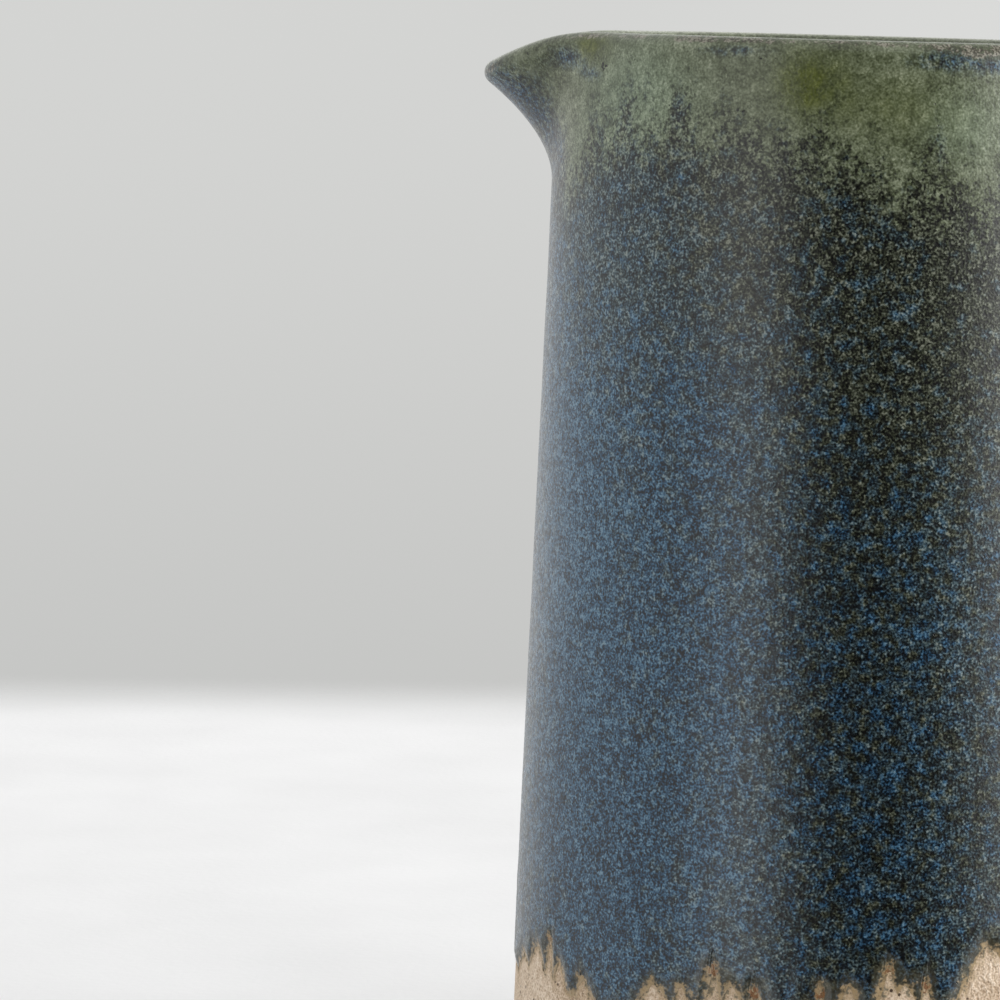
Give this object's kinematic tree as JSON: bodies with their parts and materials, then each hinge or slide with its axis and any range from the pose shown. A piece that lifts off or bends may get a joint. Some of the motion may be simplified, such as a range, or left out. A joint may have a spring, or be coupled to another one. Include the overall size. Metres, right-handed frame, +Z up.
{
  "type": "ceramic pitcher",
  "caption": "Tapered stoneware pitcher with a pulled spout, a strap handle opposite it, a glazed body and a bare clay foot.",
  "frame": {"origin": "centre of the foot's resting plane, on the axis of the thrown body", "axes": "+Z up along the body's axis, spout towards -X, handle towards +X"},
  "size_m": [0.1547, 0.117, 0.1898],
  "materials": {
    "bare_clay": "unglazed buff stoneware, dry and slightly rough, with fine dark grog",
    "blue_glaze": "satin glaze, slate blue speckle on a dark olive ground",
    "green_glaze": "satin glaze, sage green that melts down into the blue",
    "liner_glaze": "satin glaze, dark green"
  },
  "bodies": {
    "root": {"body_wall": "bare_clay", "rim_and_spout": "bare_clay", "floor_disc": "bare_clay", "foot_ring": "bare_clay", "handle_strap": "bare_clay", "handle_upper_root": "bare_clay", "handle_lower_root": "bare_clay", "outer_glaze": "blue_glaze", "rim_glaze": "green_glaze", "liner_glaze": "liner_glaze", "handle_glaze": "blue_glaze"}
  },
  "joints": []
}
